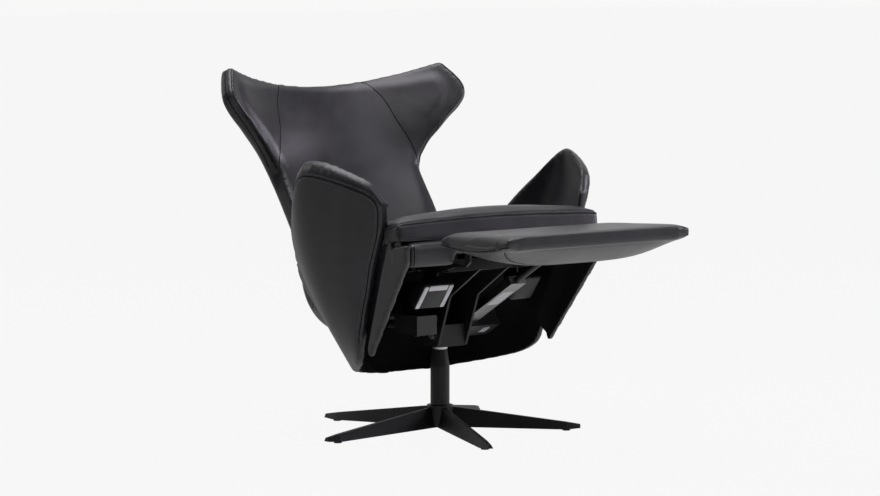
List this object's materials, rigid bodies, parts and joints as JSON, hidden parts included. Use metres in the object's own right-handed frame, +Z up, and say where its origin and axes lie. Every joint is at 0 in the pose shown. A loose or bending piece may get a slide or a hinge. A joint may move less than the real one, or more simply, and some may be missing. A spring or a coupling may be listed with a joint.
{
  "type": "recliner",
  "caption": "Winged leather recliner on a swivel star base, with a powered reclining back and a powered footrest that folds out from under the seat.",
  "frame": {"origin": "middle of the object's plan box on the floor", "axes": "+Z up, -Y towards the front where the footrest opens, +X towards the sitter's left"},
  "size_m": [0.7802, 1.0822, 0.827],
  "materials": {
    "leather": "satin, fine grain",
    "black_metal": "matt black paint",
    "bright_steel": "bright",
    "grey_metal": "satin",
    "plastic": "matt",
    "rubber": "matt",
    "board": "raw plywood"
  },
  "bodies": {
    "base": {"star_base": "black_metal", "foot_glides": "rubber", "column_tube": "black_metal", "column_collar": "bright_steel", "swivel_bearing": "plastic"},
    "seat": {"swivel_spindle": "bright_steel", "swivel_hub": "black_metal", "hub_bolts": "bright_steel", "riser_right": "black_metal", "riser_left": "black_metal", "seat_pan": "board", "seat_rail_right": "black_metal", "seat_rail_left": "black_metal", "front_cross_bar": "black_metal", "rear_cross_bar": "black_metal", "seat_cushion": "leather", "front_roll": "leather", "side_wall_left": "leather", "side_wall_right": "leather", "arm_bars": "black_metal", "arm_shell_left": "leather", "arm_shell_right": "leather", "rear_shell": "leather", "back_hinge_plate_left": "black_metal", "back_hinge_plate_right": "black_metal", "back_hinge_pins": "bright_steel", "back_motor": "plastic", "back_spindle_tube": "grey_metal", "back_motor_bracket": "black_metal", "footrest_hinge_plate_left": "black_metal", "footrest_hinge_plate_right": "black_metal", "footrest_hinge_pins": "bright_steel", "footrest_pivot_pin": "bright_steel", "battery_pack": "plastic", "battery_pack_bracket": "black_metal", "control_box": "plastic", "control_box_bracket": "black_metal", "control_plate": "plastic"},
    "back": {"back_pad": "leather", "back_wing_left": "leather", "back_wing_right": "leather", "back_shell": "leather", "back_upright_left": "black_metal", "back_upright_right": "black_metal", "back_torque_tube": "black_metal", "back_drive_lever": "black_metal"},
    "back_rod": {"back_drive_rod": "bright_steel"},
    "footrest": {"footrest_pad": "leather", "footrest_board": "board", "footrest_cover": "leather", "footrest_arm_left": "black_metal", "footrest_arm_right": "black_metal", "footrest_drive_lug": "black_metal"},
    "footrest_drive": {"footrest_motor": "plastic", "footrest_guide_rail": "grey_metal"},
    "footrest_rod": {"footrest_drive_rod": "bright_steel"},
    "button_back_up_body": {"button_back_up": "plastic"},
    "button_back_down_body": {"button_back_down": "plastic"},
    "button_foot_out_body": {"button_foot_out": "plastic"},
    "button_foot_in_body": {"button_foot_in": "plastic"}
  },
  "joints": [
    {"name": "swivel", "type": "hinge", "parent": "base", "child": "seat", "pos_m": [0, 0.0226, 0.2], "axis": [0, 0, 1], "continuous": true},
    {"name": "recline", "type": "hinge", "parent": "seat", "child": "back", "pos_m": [0, 0.2876, 0.327], "axis": [-1, 0, 0], "range_deg": [-12, 24]},
    {"name": "back_rod_slide", "type": "slide", "parent": "seat", "child": "back_rod", "axis": [0, 1, 0], "range_m": [-0.0285, 0.0145]},
    {"name": "footrest_fold", "type": "hinge", "parent": "seat", "child": "footrest", "pos_m": [0, -0.2494, 0.44], "axis": [1, 0, 0], "range_deg": [0, 126]},
    {"name": "footrest_drive_swing", "type": "hinge", "parent": "seat", "child": "footrest_drive", "pos_m": [0.095, 0.0626, 0.238], "axis": [1, 0, 0], "range_deg": [-1.5, 0.5]},
    {"name": "footrest_rod_slide", "type": "slide", "parent": "footrest_drive", "child": "footrest_rod", "axis": [0, -0.8655, 0.5009], "range_m": [-0.0675, 0.001]},
    {"name": "button_back_up_press", "type": "slide", "parent": "seat", "child": "button_back_up_body", "axis": [-0.995, 0, 0.0995], "range_m": [0, 0.001], "stiffness_N_per_m": 600},
    {"name": "button_back_down_press", "type": "slide", "parent": "seat", "child": "button_back_down_body", "axis": [-0.995, 0, 0.0995], "range_m": [0, 0.001], "stiffness_N_per_m": 600},
    {"name": "button_foot_out_press", "type": "slide", "parent": "seat", "child": "button_foot_out_body", "axis": [-0.995, 0, 0.0995], "range_m": [0, 0.001], "stiffness_N_per_m": 600},
    {"name": "button_foot_in_press", "type": "slide", "parent": "seat", "child": "button_foot_in_body", "axis": [-0.995, 0, 0.0995], "range_m": [0, 0.001], "stiffness_N_per_m": 600}
  ],
  "couplings": [
    {"joint": "back_rod_slide", "follows": "recline", "m_per_rad": -0.066},
    {"joint": "footrest_drive_swing", "follows": "footrest_fold", "ratio": -0.00698},
    {"joint": "footrest_rod_slide", "follows": "footrest_fold", "m_per_rad": -0.02956}
  ]
}
